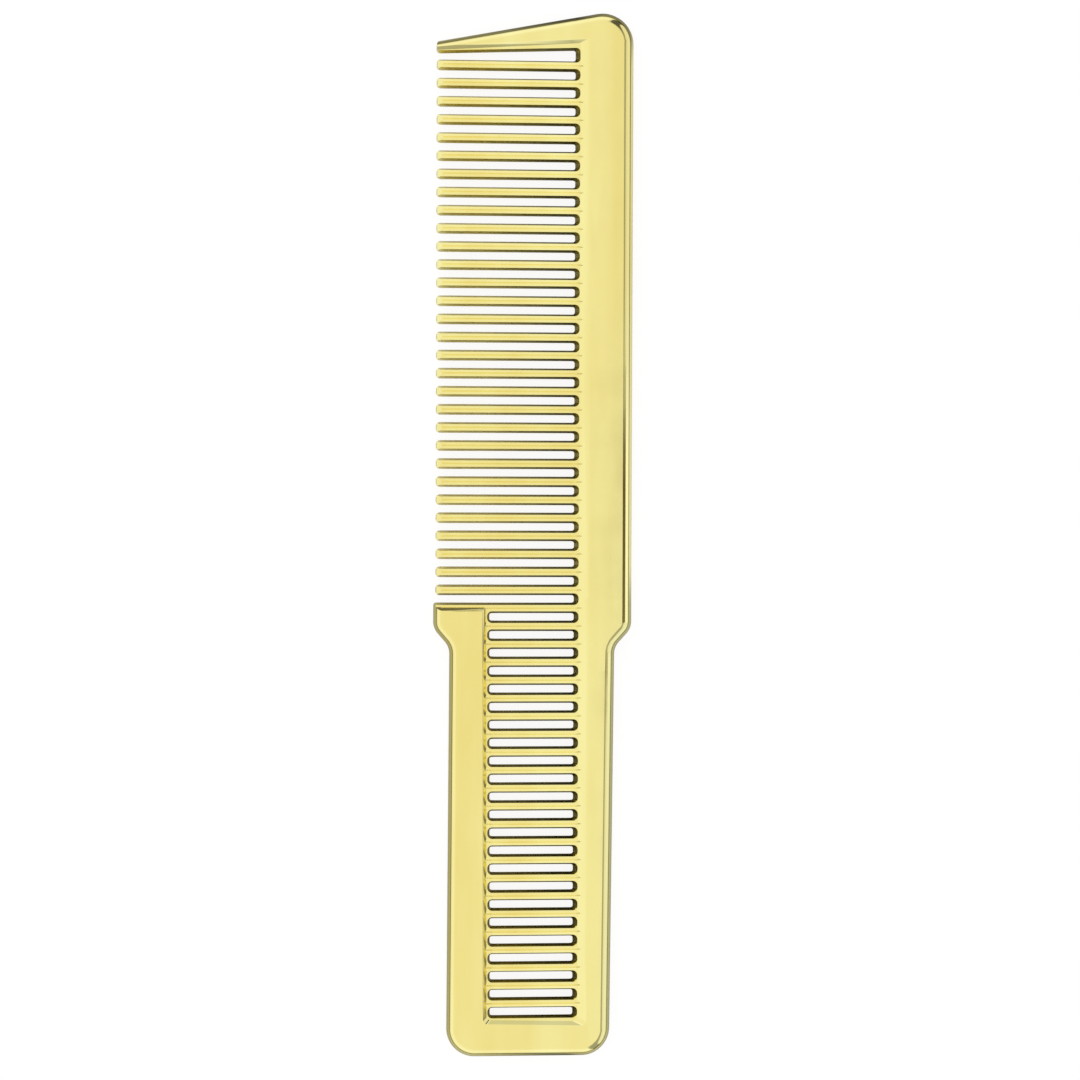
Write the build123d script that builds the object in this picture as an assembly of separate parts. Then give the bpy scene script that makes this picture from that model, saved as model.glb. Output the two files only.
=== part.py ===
from build123d import *
import os
from math import cos, radians, tan

# A barber's flat-top comb: one plated moulding, written as the regions it is made of.
# X runs from the tooth tips to the back of the spine, Y from the butt to the head, and Z out
# of the front face. The comb lies flat on its back, with the origin under its middle.
# Front and back are the same, so everything is drawn about the middle plane and lifted last.

# ---- Driving dimensions, mm and degrees ----
thickness = 4.0          # over the flat faces of spine and handle
head_width = 38.6        # front edge of the shoulder block to the back of the spine
spine_width = 11.25      # closed ends of the tooth gaps to the back of the spine
tooth_count = 30         # free teeth of even width
bar_count = 23           # bars across the window in the handle
pitch = 3.5              # from one tooth or bar to the next
tooth_width = 2.08       # at the parting plane
butt_reach = 10.45       # middle of the last bar to the butt
edge_round = 1.95        # rounding of the outer edges, front and back
tip_inset = 0.42         # tooth tips behind the front edge of the shoulder block
tip_round = 0.85         # rounding of the tooth tips, in plan
tip_slope = 1.2          # length of the slope down to each tip
tip_blunt = 0.7          # middle plane up to the foot of that slope

# The field of teeth and bars is sunk below both faces.
field_height = 1.3       # middle plane up to the floor of the field
ridge_height = 1.6       # middle plane up to the ridge along each tooth
crest_width = 0.26       # foot of the steeper crest on that ridge
crest_height = 0.17
crest_round = 0.05
side_flare = 0.42        # lean of a tooth's sides, from the parting plane to the floor
end_flare = 0.85         # lean of the gap's closed end on the spine
rail_flare = 0.5         # lean of the gap's closed end on the rail
gap_round = 0.4          # corners of a gap at the parting plane
mouth_round = 0.95       # the same corners at the floor
slope_run = 1.75         # width of the slope from the floor up to the face of the spine
step_run = 0.7           # lean of the step on the other sides of the field
ledge = 0.18             # floor between the rail's step and the gaps

# End tooth and top corner
top_slant = 10.5         # top edge against the teeth
top_corner = 6.0
end_tooth_tip = 2.3      # width of the end tooth at its tip
first_gap_tip = 1.13     # gap between the end tooth and the first tooth, at the tips
first_gap_root = 2.03    # the same gap at the spine
end_ledge_tip = 0.5      # first gap to the step of the end tooth's face, at the tip
end_ledge_root = 1.27    # the same at the spine

# Handle
front_step = 3.15        # handle set in from the front edge of the block
back_step = 3.3          # handle set in from the back of the spine
front_lean = 0.43        # the handle's front side drifts outward by this on the way down
back_lean = 0.74         # its back side drifts inward by this
rail_width = 7.75        # side of the handle to the gaps, at the first bar
rail_drift = 0.3         # the window's front side drifts inward by this on the way down
shoulder_drop = 5.0      # top of the block to the start of both shoulders
shoulder_rise = 3.65     # length of the shoulders
shoulder_round = 3.5
butt_corner = 5.5
block_ledge = 0.85       # top of the block to its step, at floor level
block_corner = 0.6
foot_front = 0.75        # last gap to the step below it, at the rail
foot_back = 1.1          # the same at the spine
foot_corner = 0.9

# ---- Derived places ----
half = thickness / 2
face_rise = half - field_height
gap = pitch - tooth_width
x_front = -head_width / 2
x_back = head_width / 2
x_tip = x_front + tip_inset
x_gap_back = x_back - spine_width
x_gap_front = x_front + front_step + rail_width
slant = tan(radians(top_slant))
slant_peak = top_corner * (1 / cos(radians(top_slant)) - 1)
tip_drop = (x_back - top_corner - x_tip) * slant - slant_peak
top_reach = tip_drop + end_tooth_tip + first_gap_tip + tooth_width / 2
length = top_reach + (tooth_count + bar_count - 1) * pitch + butt_reach
y_top = length / 2
y_butt = -length / 2
y_first_tooth = y_top - top_reach
y_first_gap = y_first_tooth + tooth_width / 2
first_gap_slant = (first_gap_root - first_gap_tip) / (x_gap_back - x_tip)
y_first_bar = y_first_tooth - tooth_count * pitch
y_last_bar = y_first_bar - (bar_count - 1) * pitch
y_block = y_first_bar + tooth_width / 2
y_last_gap = y_last_bar - tooth_width / 2 - gap

# The regions meet on these planes, where the sections of both sides are the same.
join = 0.15                                      # how far clear of the gaps' corners
x_join_back = x_gap_back - gap_round - join
x_join_front = x_gap_front + rail_drift + gap_round + join
y_join_spine = y_block + gap / 2
y_join_butt = y_last_gap + gap / 2
y_join_rail = y_first_bar - 3.5 * pitch           # in a gap, clear below the shoulders

over = 5.0                                       # how far a cutter runs past what it cuts
cut_height = field_height + face_rise * 0.35     # top of the gap cutters, inside the slope


def slab(outline, reach=half):
    """A face on the middle plane, grown the same way up and down."""
    return extrude(outline, amount=reach, both=True)


def block_between(low, high):
    """A box between two corners in plan, taller than the comb."""
    size_x, size_y = high[0] - low[0], high[1] - low[1]
    middle = ((low[0] + high[0]) / 2, (low[1] + high[1]) / 2, 0)
    return Pos(middle) * Box(size_x, size_y, thickness + 2 * over)


def rounded_plan(points, radii, height=0.0):
    """A closed outline at a height, with a radius for each corner."""
    plane = Plane.XY.offset(height)
    return plane * make_face(FilletPolyline(*points, radius=radii, close=True))


def crossing(first, second):
    """Where two lines in plan meet. Each is a point and a direction."""
    (px, py), (ux, uy) = first
    (qx, qy), (vx, vy) = second
    along = ((qx - px) * vy - (qy - py) * vx) / (ux * vy - uy * vx)
    return (px + along * ux, py + along * uy)


def spread(sides, rise):
    """Corners of an outline whose sides have each moved outward by run times rise.

    A side is (point, direction, run), listed anticlockwise.
    """
    lines = []
    for (x, y), (ux, uy), run in sides:
        size = (ux * ux + uy * uy) ** 0.5
        lines.append(((x + uy / size * run * rise, y - ux / size * run * rise), (ux, uy)))
    return [crossing(lines[i - 1], lines[i]) for i in range(len(lines))]


# ---- Outer plates ----

def round_edges(plate, plain_y):
    """Round the rims of both faces, except along the cut edge at plain_y."""
    rims = [
        edge
        for edge in plate.edges()
        if abs(abs(edge.center().Z) - half) < 1e-6
        and abs(edge.center().Z - (edge @ 0).Z) < 1e-6
        and not abs(edge.center().Y - plain_y) < 1e-6
    ]
    return fillet(rims, min(edge_round, 0.49 * thickness))


def slanted_edge_y(x):
    """Place of the head's slanted edge at x."""
    return y_top - tip_drop + (x - x_tip) * slant


def first_gap_y(x):
    """Upper edge of the gap under the end tooth at x."""
    return y_first_gap + first_gap_tip + (x - x_tip) * first_gap_slant


def head_plate():
    """The head as a full plate: slanted top edge, round back corner."""
    x_start = x_front - over
    points = [
        (x_start, y_join_spine),
        (x_back, y_join_spine),
        (x_back, slanted_edge_y(x_back)),
        (x_start, slanted_edge_y(x_start)),
    ]
    plate = slab(rounded_plan(points, [0, 0, top_corner, 0]))
    return round_edges(plate, y_join_spine)


def handle_plate():
    """Shoulders, handle and butt as a full plate."""
    front, back = x_front + front_step, x_back - back_step
    shoulder_top = y_block - shoulder_drop
    shoulder_foot = shoulder_top - shoulder_rise
    points = [
        (x_front, y_join_spine),
        (x_front, shoulder_top),
        (front, shoulder_foot),
        (front - front_lean, y_butt),
        (back - back_lean, y_butt),
        (back, shoulder_foot),
        (x_back, shoulder_top),
        (x_back, y_join_spine),
    ]
    bend = shoulder_round
    plate = slab(rounded_plan(points, [0, bend, bend, butt_corner, butt_corner, bend, bend, 0]))
    return round_edges(plate, y_join_spine)


# ---- Sunk field, gaps and ridges ----

def field_pocket():
    """What is cut from the front face over the teeth and the window."""
    slope, step = slope_run / face_rise, step_run / face_rise
    x_rim = x_gap_back + end_flare
    x_rail = x_gap_front - rail_flare - ledge
    pad_low = (x_tip, first_gap_y(x_tip) + end_ledge_tip)
    pad_high = (x_gap_back, first_gap_y(x_gap_back) + end_ledge_root)
    foot_low = (x_gap_front, y_last_gap - foot_front)
    foot_high = (x_gap_back, y_last_gap - foot_back)
    sides = [
        (foot_low, (foot_high[0] - foot_low[0], foot_high[1] - foot_low[1]), step),
        ((x_rim, 0), (0, 1), slope),
        (pad_high, (pad_low[0] - pad_high[0], pad_low[1] - pad_high[1]), step),
        ((x_front - over, 0), (0, -1), 0),
        ((0, y_block - block_ledge), (1, 0), step),
        ((x_rail, y_first_bar), (rail_drift, y_last_gap - y_first_bar), step),
    ]
    radii = [foot_corner, foot_corner, 0, 0, 0, 0]
    top = face_rise + 0.5
    floor = rounded_plan(spread(sides, 0), radii, field_height)
    roof = rounded_plan(spread(sides, top), radii, field_height + top)
    return loft([floor, roof], ruled=True)


def window_front_x(y):
    """Front end of a gap in the window, at a height."""
    return x_gap_front + rail_drift * (y_first_bar - y) / (y_first_bar - y_last_gap)


def gap_cutter(x_start, x_end, y_low, y_high):
    """An open-through gap, narrowest on the parting plane, with flared sides and ends.

    y_low and y_high give the gap's edges at x_start and at x_end.
    """
    grow = cut_height / field_height
    sections = []
    for level in (-1, 0, 1):
        side = side_flare * grow * abs(level)
        front = x_start - rail_flare * grow * abs(level)
        back = x_end + end_flare * grow * abs(level)
        points = [
            (front, y_low[0] - side),
            (back, y_low[1] - side),
            (back, y_high[1] + side),
            (front, y_high[0] + side),
        ]
        room = min(y_high[0] - y_low[0], y_high[1] - y_low[1]) + 2 * side
        corner = min(gap_round + (mouth_round - gap_round) * grow * abs(level), 0.45 * room)
        sections.append(rounded_plan(points, corner, level * cut_height))
    return loft(sections, ruled=True)


def tooth_gaps():
    """The open gaps of the head, from the one under the end tooth to the one over the block."""
    x_start = x_front - over
    high = (first_gap_y(x_start), first_gap_y(x_gap_back))
    gaps = [gap_cutter(x_start, x_gap_back, (y_first_gap, y_first_gap), high)]
    for i in range(tooth_count):
        low = y_first_tooth - (i + 1) * pitch + tooth_width / 2
        gaps.append(gap_cutter(x_start, x_gap_back, (low, low), (low + gap, low + gap)))
    return gaps


def window_gaps():
    """The closed gaps between the bars of the handle, and the one below the last bar."""
    gaps = []
    for i in range(bar_count):
        low = y_first_bar - (i + 1) * pitch + tooth_width / 2
        front = window_front_x(low)
        gaps.append(gap_cutter(front, x_gap_back, (low, low), (low + gap, low + gap)))
    return gaps


def tooth_section(foot_width, side_lean):
    """A tooth's section, across Y and up Z: leaning sides and a low crested ridge on each face."""
    foot, eave = foot_width / 2, foot_width / 2 - side_lean
    crest, crest_foot = crest_width / 2, ridge_height - crest_height
    roof = [
        (eave, field_height),
        (crest, crest_foot),
        (0, ridge_height),
        (-crest, crest_foot),
        (-eave, field_height),
    ]
    keel = [(-y, -z) for y, z in roof]
    points = [(foot, 0), *roof, (-foot, 0), *keel]
    radii = [0, 0, 0, crest_round, 0, 0, 0, 0, 0, crest_round, 0, 0]
    return Plane.YZ * make_face(FilletPolyline(*points, radius=radii, close=True))


def tooth_prism(x_start, x_end):
    """A length of tooth or bar along X, centred on Y = 0."""
    section = tooth_section(tooth_width, side_flare)
    return Pos(x_start, 0, 0) * extrude(section, amount=x_end - x_start)


def ridge_stubs(x_start, x_end, places):
    """The ridges of the teeth where they run on over the frame's floor."""
    eave = tooth_width - 2 * side_flare
    stub = Pos(x_start, 0, 0) * extrude(tooth_section(eave, 0), amount=x_end - x_start)
    return [Pos(0, y, 0) * stub for y in places]


# ---- Places of the repeated members ----
tooth_places = [y_first_tooth - i * pitch for i in range(tooth_count)]
bar_places = [y_first_bar - i * pitch for i in range(bar_count)]


def free_tooth():
    """One tooth, from its rounded tip to the spine, centred on Y = 0."""
    prism = tooth_prism(x_tip, x_join_back)
    end = x_join_back + over
    nose = min(tip_round, 0.45 * tooth_width)
    plan = rounded_plan(
        [
            (x_tip, -tooth_width / 2),
            (end, -tooth_width / 2),
            (end, tooth_width / 2),
            (x_tip, tooth_width / 2),
        ],
        [nose, 0, 0, nose],
    )
    side = make_face(
        FilletPolyline(
            (x_tip, -tip_blunt),
            (x_tip + tip_slope, -ridge_height),
            (end, -ridge_height),
            (end, ridge_height),
            (x_tip + tip_slope, ridge_height),
            (x_tip, tip_blunt),
            radius=[tip_blunt / 2, tip_slope / 2, 0, 0, tip_slope / 2, tip_blunt / 2],
            close=True,
        )
    )
    profile = extrude(Plane.XZ * side, amount=tooth_width, both=True)
    return prism & slab(plan, ridge_height + over) & profile


def cut_pockets(plate):
    """Sink the field on both faces."""
    pocket = field_pocket()
    return plate - pocket - mirror(pocket, about=Plane.XY)


def end_tooth(head):
    """The wide slanted tooth that guards the top of the row, with its rounded tip."""
    inside_gap = y_first_gap + first_gap_tip / 2
    blank = head & block_between((x_tip, inside_gap), (x_join_back, y_top + over))
    blank = blank - tooth_gaps()[0]
    nose = min(tip_round, 0.45 * end_tooth_tip)
    end = x_join_back + over
    plan = rounded_plan(
        [
            (x_tip, first_gap_y(x_tip)),
            (end, first_gap_y(end)),
            (end, slanted_edge_y(end)),
            (x_tip, slanted_edge_y(x_tip)),
        ],
        [nose, 0, 0, nose],
    )
    return blank & slab(plan, half + over)


def spine_of_head(head):
    """The back of the head, with the closed ends of the gaps and the ridges' run-out."""
    blank = head & block_between((x_join_back, y_join_spine), (x_back + over, y_top + over))
    x_rim = x_gap_back + end_flare
    stubs = ridge_stubs(x_join_back, x_rim + slope_run / 2, tooth_places)
    return (blank + stubs) - tooth_gaps()


def back_of_handle(handle):
    """The back shoulder and the back side of the handle, still in one."""
    blank = handle & block_between((x_join_back, y_join_butt), (x_back + over, y_join_spine))
    x_rim = x_gap_back + end_flare
    stubs = ridge_stubs(x_join_back, x_rim + slope_run / 2, bar_places)
    return (blank + stubs) - (window_gaps() + tooth_gaps()[-1:])


def front_of_handle(handle):
    """The front shoulder and the rail, still in one."""
    blank = handle & block_between((x_front - over, y_join_butt), (x_join_front, y_join_spine))
    x_rail = x_gap_front - rail_flare - ledge - step_run / 2
    stubs = ridge_stubs(x_rail, x_join_front, bar_places)
    blank = (blank + stubs) - (window_gaps() + tooth_gaps()[-1:])
    corner = rounded_plan(
        [
            (x_front, y_butt - over),
            (x_back, y_butt - over),
            (x_back, y_block),
            (x_front, y_block),
        ],
        [0, 0, 0, block_corner],
    )
    return blank & slab(corner, half + over)


def butt(handle):
    """The closed foot of the handle, below the last bar."""
    blank = handle & block_between((x_front - over, y_butt - over), (x_back + over, y_join_butt))
    return blank - window_gaps()[-1]


def split_at(shape, y_low, y_high):
    """The part of a shape between two heights."""
    return shape & block_between((x_front - over, y_low), (x_back + over, y_high))


def save(shape, name):
    """Lift a region onto the surface that the comb lies on, and write it."""
    solids = shape.solids()
    assert len(solids) == 1, f"{name} is {len(solids)} solids"
    placed = Pos(0, 0, half) * solids[0]
    placed.label = name
    export_step(placed, f"parts/{name}.step")


os.makedirs("parts", exist_ok=True)

head = cut_pockets(head_plate())
handle = cut_pockets(handle_plate())
front = front_of_handle(handle)

back = back_of_handle(handle)

save(spine_of_head(head), "head_spine")
save(end_tooth(head), "end_guard_tooth")
save(split_at(back, y_join_rail, y_join_spine), "back_shoulder")
save(split_at(back, y_join_butt, y_join_rail), "handle_spine")
save(split_at(front, y_join_rail, y_join_spine), "front_shoulder")
save(split_at(front, y_join_butt, y_join_rail), "handle_rail")
save(butt(handle), "butt_end")

tooth = free_tooth()
for i, y in enumerate(tooth_places, start=1):
    save(Pos(0, y, 0) * tooth, f"tooth_{i:02d}")

bar = tooth_prism(x_join_front, x_join_back)
for i, y in enumerate(bar_places, start=1):
    save(Pos(0, y, 0) * bar, f"bar_{i:02d}")

print("length", round(length, 2), "width", head_width, "thickness", thickness)
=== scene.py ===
from math import cos, radians, sin

import bmesh
import bpy
from mathutils import Euler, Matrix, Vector


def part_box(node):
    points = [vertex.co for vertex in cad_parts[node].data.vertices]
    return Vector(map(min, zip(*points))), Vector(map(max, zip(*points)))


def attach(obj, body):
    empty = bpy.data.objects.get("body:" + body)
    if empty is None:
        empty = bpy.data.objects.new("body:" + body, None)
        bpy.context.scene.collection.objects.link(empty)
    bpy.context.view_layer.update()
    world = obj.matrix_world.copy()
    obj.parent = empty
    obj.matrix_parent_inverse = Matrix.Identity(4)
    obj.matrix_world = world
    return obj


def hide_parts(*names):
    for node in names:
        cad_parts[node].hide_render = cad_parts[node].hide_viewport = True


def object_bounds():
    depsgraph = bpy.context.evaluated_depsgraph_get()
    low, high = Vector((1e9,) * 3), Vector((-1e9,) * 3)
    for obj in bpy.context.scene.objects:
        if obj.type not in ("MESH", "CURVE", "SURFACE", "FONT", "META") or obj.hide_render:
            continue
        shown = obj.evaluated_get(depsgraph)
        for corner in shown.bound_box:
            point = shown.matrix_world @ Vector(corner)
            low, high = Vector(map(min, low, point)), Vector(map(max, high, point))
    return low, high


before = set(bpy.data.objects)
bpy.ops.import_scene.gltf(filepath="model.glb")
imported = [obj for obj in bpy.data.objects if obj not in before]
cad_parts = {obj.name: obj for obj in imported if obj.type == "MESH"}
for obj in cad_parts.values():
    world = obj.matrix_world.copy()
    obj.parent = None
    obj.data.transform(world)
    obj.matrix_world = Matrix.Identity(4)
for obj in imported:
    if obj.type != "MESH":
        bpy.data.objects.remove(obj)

cad_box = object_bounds()
MM = 0.001
LOW, HIGH = cad_box


# ---- Small helpers ----

def node(tree, kind, **settings):
    """A new shader node, with its own settings and its sockets' values."""
    made = tree.nodes.new(kind)
    for name, value in settings.items():
        if hasattr(made, name):
            setattr(made, name, value)
        else:
            made.inputs[name.replace("_", " ")].default_value = value
    return made


def join(tree, source, target):
    """Link one socket to another."""
    tree.links.new(source, target)


def ramp(tree, source, stops):
    """A colour ramp over a value, from a list of (position, colour)."""
    made = node(tree, "ShaderNodeValToRGB")
    elements = made.color_ramp.elements
    while len(elements) < len(stops):
        elements.new(0.5)
    for element, (position, colour) in zip(elements, stops):
        element.position = position
        level = colour if isinstance(colour, tuple) else (colour, colour, colour)
        element.color = (*level, 1)
    join(tree, source, made.inputs["Fac"])
    return made.outputs["Color"]


def product(tree, first, second):
    """Two colours multiplied."""
    made = node(tree, "ShaderNodeVectorMath", operation="MULTIPLY")
    join(tree, first, made.inputs[0])
    join(tree, second, made.inputs[1])
    return made.outputs["Vector"]


def lighter(tree, first, second):
    """The lighter of two colours, channel by channel."""
    made = node(tree, "ShaderNodeMix", data_type="RGBA", blend_type="LIGHTEN")
    made.inputs[0].default_value = 1.0
    join(tree, first, made.inputs[6])
    join(tree, second, made.inputs[7])
    return made.outputs[2]


def progress(tree, source, start, stop):
    """How far a value has gone from start to stop, as 0 to 1."""
    made = node(tree, "ShaderNodeMapRange", From_Min=start, From_Max=stop)
    join(tree, source, made.inputs["Value"])
    return made.outputs["Result"]


# ---- Plated finish ----

STRAW = (0.87, 0.73, 0.24)
LEMON = (0.94, 0.85, 0.35)
STREAKS = (90.0, 14.0, 90.0)  # long along the comb
ROUGHNESS = (0.05, 0.13)
SWELL_HEIGHT = 0.2 * MM


def gold_plating():
    """Pale gold metallised plastic: mirror gloss, with the faint unevenness of a moulded skin."""
    material = bpy.data.materials.new("pale_gold_plating")
    material.use_nodes = True
    tree = material.node_tree
    tree.nodes.clear()
    place = node(tree, "ShaderNodeTexCoord").outputs["Object"]

    shader = node(tree, "ShaderNodeBsdfPrincipled", Metallic=1.0)
    output = node(tree, "ShaderNodeOutputMaterial")
    join(tree, shader.outputs["BSDF"], output.inputs["Surface"])

    # The plating's depth drifts in long streaks, so its colour runs between straw and lemon.
    stretch = node(tree, "ShaderNodeMapping", Scale=STREAKS)
    join(tree, place, stretch.inputs["Vector"])
    drift = node(tree, "ShaderNodeTexNoise", Scale=1.0, Detail=3.0, Roughness=0.55)
    join(tree, stretch.outputs["Vector"], drift.inputs["Vector"])
    tint = ramp(tree, drift.outputs["Fac"], [(0.3, STRAW), (0.7, LEMON)])
    join(tree, tint, shader.inputs["Base Color"])

    # Handling leaves the gloss slightly uneven.
    haze = node(tree, "ShaderNodeTexNoise", Scale=160.0, Detail=4.0, Roughness=0.6)
    join(tree, place, haze.inputs["Vector"])
    gloss = node(tree, "ShaderNodeMapRange", To_Min=ROUGHNESS[0], To_Max=ROUGHNESS[1])
    join(tree, haze.outputs["Fac"], gloss.inputs["Value"])
    join(tree, gloss.outputs["Result"], shader.inputs["Roughness"])

    # The moulded skin under the plating isn't quite flat.
    swell = node(tree, "ShaderNodeTexNoise", Scale=70.0, Detail=1.0)
    join(tree, place, swell.inputs["Vector"])
    skin = node(tree, "ShaderNodeBump", Strength=0.25, Distance=SWELL_HEIGHT)
    join(tree, swell.outputs["Fac"], skin.inputs["Height"])
    join(tree, skin.outputs["Normal"], shader.inputs["Normal"])
    return material


# ---- Comb ----

SOFT_EDGE = 0.3 * MM          # widest rounding, where the slope meets a flat face
FINE_EDGE = 0.35              # share of it on the other edges
CREASE = radians(20)
GENTLE = radians(32)          # folds up to here get the widest rounding
CREST = (1.2 * MM, 1.6 * MM)  # edges wholly between these heights off the middle stay crisp
LONG_EDGE = 2.0 * MM          # shorter edges stay crisp
TOUCH = 0.01 * MM
WELD = 0.001 * MM
FLAT = radians(0.5)           # facets that turn less than this are joined
SQUARE = 0.999                # a normal this near an axis lies along it

middle = (LOW[2] + HIGH[2]) / 2
SEAMS = (
    (0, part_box("tooth_01")[1][0]),
    (0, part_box("bar_01")[0][0]),
    (1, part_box("head_spine")[0][1]),
    (1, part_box("butt_end")[1][1]),
    (1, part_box("handle_rail")[1][1]),
)


def is_cap(face):
    """Whether a face is one where two regions of the moulding meet."""
    place = face.calc_center_median()
    for axis, level in SEAMS:
        if abs(face.normal[axis]) > SQUARE and abs(place[axis] - level) < TOUCH:
            return True
    return False


def on_crest(edge):
    """Whether an edge lies in the band of heights that is kept crisp along the teeth."""
    return all(CREST[0] < abs(v.co.z - middle) < CREST[1] for v in edge.verts)


def moulded_piece(name, part):
    """A region of the moulding with softened edges, flush with its neighbours at the seams."""
    shape = bmesh.new()
    shape.from_mesh(part.data)
    shape.transform(part.matrix_world)
    bmesh.ops.remove_doubles(shape, verts=shape.verts, dist=WELD)
    bmesh.ops.dissolve_limit(shape, angle_limit=FLAT, verts=shape.verts, edges=shape.edges)
    weight = shape.edges.layers.float.new("bevel_weight_edge")
    caps = {face for face in shape.faces if is_cap(face)}
    for face in shape.faces:
        face.smooth = True
    for edge in shape.edges:
        fold = edge.calc_face_angle(0)
        if any(face in caps for face in edge.link_faces):
            edge.smooth = False
        elif fold > CREASE and (on_crest(edge) or edge.calc_length() < LONG_EDGE):
            edge.smooth = False
        elif fold > CREASE:
            edge[weight] = 1.0 if fold < GENTLE else FINE_EDGE
    mesh = bpy.data.meshes.new(name + "_skin")
    shape.to_mesh(mesh)
    shape.free()
    piece = bpy.data.objects.new(name + "_skin", mesh)
    bpy.context.scene.collection.objects.link(piece)
    soften = piece.modifiers.new("soften", "BEVEL")
    soften.limit_method = "WEIGHT"
    soften.width = SOFT_EDGE
    soften.segments = 3
    soften.use_clamp_overlap = False
    even = piece.modifiers.new("even_shading", "WEIGHTED_NORMAL")
    even.keep_sharp = True
    even.weight = 90
    return piece


plating = gold_plating()
for name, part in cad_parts.items():
    piece = moulded_piece(name, part)
    piece.data.materials.append(plating)
    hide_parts(name)
    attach(piece, "root")


# ---- Studio ----

TABLE_SIZE = 4.0
PAPER = (0.9, 0.9, 0.9, 1)
BACKLIGHT = (1, 0.995, 0.985, 1)
BACKLIGHT_LEVEL = 1.06
BACKLIT_SHARE = 0.85          # the rest shows the comb's shadow
PAST_ENDS = 10 * MM
HALF_SPAN = 25 * MM           # reach of the table's painted shade on each side of the comb's middle


def painted_shade_in_reflections(tree):
    """The table as the plating sees it, with painted shade: dim under the handle and the gaps and
    dark past the head, so the plating shows painted dark reflections along its edges.
    """
    place = node(tree, "ShaderNodeSeparateXYZ")
    join(tree, node(tree, "ShaderNodeNewGeometry").outputs["Position"], place.inputs[0])
    across = progress(tree, place.outputs["X"], -HALF_SPAN, HALF_SPAN)
    along = progress(tree, place.outputs["Y"], LOW[1] - PAST_ENDS, HIGH[1] + PAST_ENDS)
    # Painted shade across and along the table, seen only in the plating's reflections.
    painted_shade_across = ramp(tree, across, [
        (0.0, 1.0),
        (0.3, 0.95),
        (0.58, 0.35),
        (0.66, 0.3),
        (0.7, 0.75),
        (0.9, 1.0),
    ])
    painted_shade_along = ramp(tree, along, [
        (0.0, 0.7),
        (0.05, 0.55),
        (0.44, 0.55),
        (0.47, 0.95),
        (0.92, 0.95),
        (0.955, 0.3),
    ])
    painted_shade_paper = node(tree, "ShaderNodeBsdfDiffuse")
    join(tree, product(tree, painted_shade_across, painted_shade_along), painted_shade_paper.inputs["Color"])
    return painted_shade_paper.outputs[0]


def studio_floor():
    """A white table top that the comb lies on, lit from below for the camera, with painted shade
    that only reflections show.
    """
    bpy.ops.mesh.primitive_plane_add(size=TABLE_SIZE, location=(0, 0, 0))
    floor = bpy.context.object
    floor.name = "table"
    material = bpy.data.materials.new("white_table")
    material.use_nodes = True
    tree = material.node_tree
    tree.nodes.clear()
    ray = node(tree, "ShaderNodeLightPath")
    paper = node(tree, "ShaderNodeBsdfDiffuse", Color=PAPER)
    top = node(tree, "ShaderNodeMixShader")
    # Glossy rays see the table with its painted shade, which the plating shows as painted dark
    # reflections.
    join(tree, ray.outputs["Is Glossy Ray"], top.inputs[0])
    join(tree, paper.outputs[0], top.inputs[1])
    join(tree, painted_shade_in_reflections(tree), top.inputs[2])
    backlit = node(tree, "ShaderNodeEmission", Color=BACKLIGHT, Strength=BACKLIGHT_LEVEL)
    share = node(tree, "ShaderNodeMath", operation="MULTIPLY")
    share.inputs[1].default_value = BACKLIT_SHARE
    join(tree, ray.outputs["Is Camera Ray"], share.inputs[0])
    mix = node(tree, "ShaderNodeMixShader")
    join(tree, share.outputs[0], mix.inputs[0])
    join(tree, top.outputs[0], mix.inputs[1])
    join(tree, backlit.outputs[0], mix.inputs[2])
    output = node(tree, "ShaderNodeOutputMaterial")
    join(tree, mix.outputs[0], output.inputs["Surface"])
    floor.data.materials.append(material)


CARD_COLOUR = (0.13, 0.09, 0.035)
CARD_X = (0.13, 0.64)         # the card's window of directions, as parts of a unit vector
CARD_Y = (-0.062, 0.022)
CARD_BLUR = 0.01
PANEL_LIFT = radians(22.4)    # elevation of the panel's middle, toward the comb's back
FRAME_REACH = radians(52.5)   # panel's middle to the middle of its frame
FRAME_HALF = radians(8.5)     # half the frame's width
FRAME_CORE = 0.7              # share of that half which is at the frame's full darkness
PANEL_LEVEL = 0.86


def brown_card(tree, apart):
    """White but in one window of directions, where the card's colour shows."""
    sides = []
    for axis, window in (("X", CARD_X), ("Y", CARD_Y)):
        start, stop = ((edge + 1) / 2 for edge in window)
        sides.append(ramp(tree, progress(tree, apart.outputs[axis], -1, 1), [
            (start - CARD_BLUR, 1.0),
            (start, CARD_COLOUR),
            (stop, CARD_COLOUR),
            (stop + CARD_BLUR, 1.0),
        ]))
    return lighter(tree, *sides)


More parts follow.
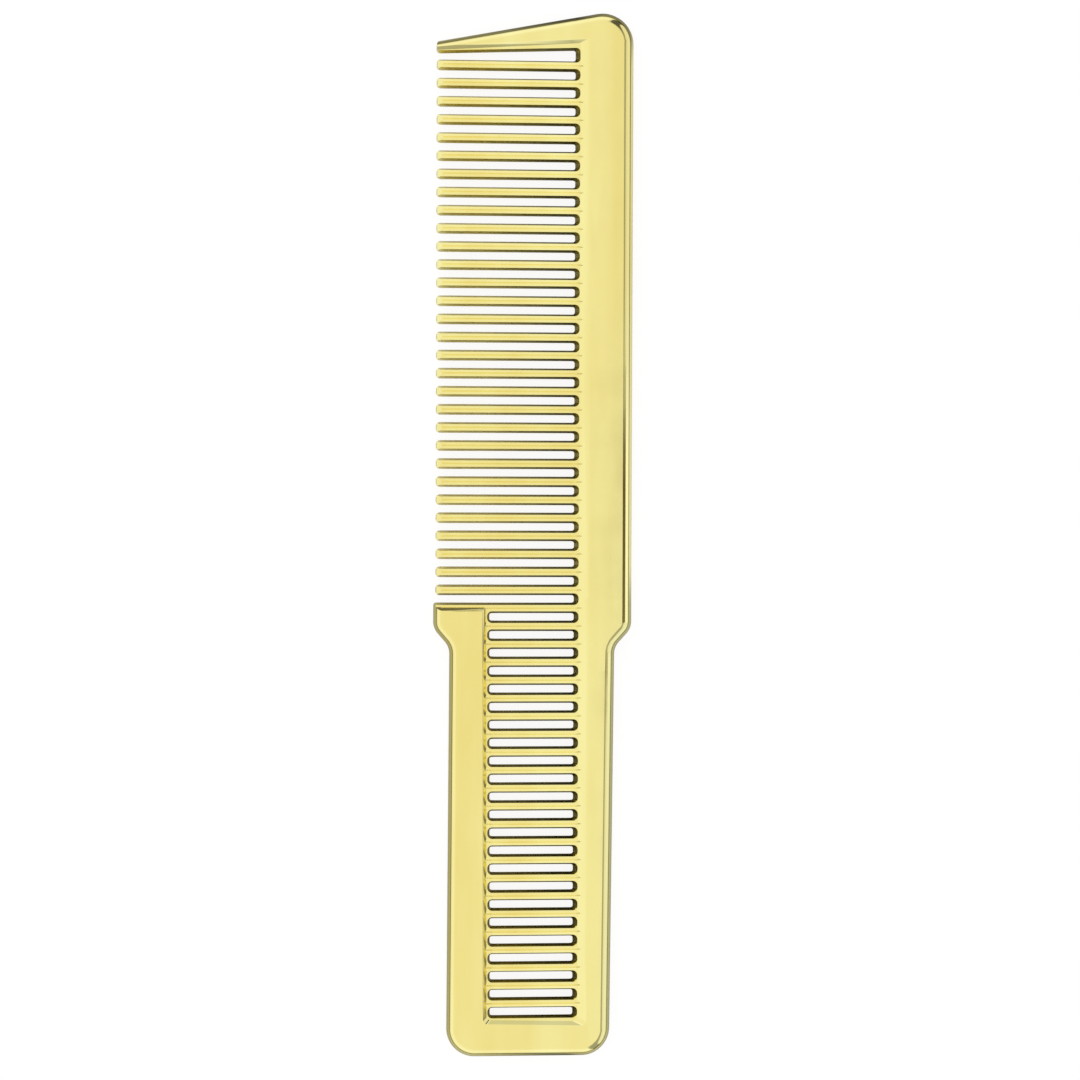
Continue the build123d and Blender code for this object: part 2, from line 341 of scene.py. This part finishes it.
def framed_panel(tree, way, apart):
    """A round panel at the comb's back, seen through a dark frame."""
    toward = node(tree, "ShaderNodeVectorMath", operation="DOT_PRODUCT")
    toward.inputs[1].default_value = (cos(PANEL_LIFT), 0, sin(PANEL_LIFT))
    join(tree, way, toward.inputs[0])
    panel = ramp(tree, toward.outputs["Value"], [
        (cos(FRAME_REACH + FRAME_HALF), 1.0),
        (cos(FRAME_REACH + FRAME_HALF * FRAME_CORE), 0.0),
        (cos(FRAME_REACH - FRAME_HALF * FRAME_CORE), 0.0),
        (cos(FRAME_REACH - FRAME_HALF), PANEL_LEVEL),
    ])

    # The frame is darkest at the head end, and the card takes its place across the middle.
    frame_level = ramp(tree, progress(tree, apart.outputs["Y"], -1, 1), [
        (0.0, 0.3),
        (0.455, 0.45),
        (0.465, 1.0),
        (0.513, 1.0),
        (0.53, 0.45),
        (0.62, 0.45),
        (0.70, 0.1),
        (1.0, 0.1),
    ])
    return lighter(tree, panel, frame_level)


def studio_world():
    """A white tent above a dim rim, with a framed panel and a brown card in it."""
    world = bpy.data.worlds.new("tent")
    bpy.context.scene.world = world
    world.use_nodes = True
    tree = world.node_tree
    tree.nodes.clear()
    way = node(tree, "ShaderNodeTexCoord").outputs["Generated"]
    apart = node(tree, "ShaderNodeSeparateXYZ")
    join(tree, way, apart.inputs[0])
    tent = ramp(tree, apart.outputs["Z"], [
        (0.0, 0.13),
        (0.12, 0.2),
        (0.23, (0.95, 1.0, 1.15)),
        (0.45, (1.08, 1.12, 1.35)),
        (0.68, (1.08, 1.12, 1.3)),
        (0.85, (0.98, 1.0, 1.05)),
        (0.97, 0.98),
    ])
    lit = product(tree, tent, framed_panel(tree, way, apart))
    sky = node(tree, "ShaderNodeBackground", Strength=1.0)
    join(tree, product(tree, lit, brown_card(tree, apart)), sky.inputs["Color"])
    output = node(tree, "ShaderNodeOutputWorld")
    join(tree, sky.outputs[0], output.inputs["Surface"])


# ---- Camera ----

SENSOR = 36.0                 # mm
LENS = 88.345                 # mm
EYE = (-34.34, 10.12, 516.13)
TURN = (-0.0213, -0.0694, 0.0034)


def camera():
    """Nearly overhead, a little toward the tips."""
    lens = bpy.data.cameras.new("camera")
    lens.sensor_width = SENSOR
    lens.lens = LENS
    eye = bpy.data.objects.new("camera", lens)
    bpy.context.scene.collection.objects.link(eye)
    eye.location = Vector(EYE) * MM
    eye.rotation_euler = Euler(TURN, "XYZ")
    bpy.context.scene.camera = eye


studio_floor()
studio_world()
camera()
bpy.context.scene.view_settings.view_transform = "Standard"
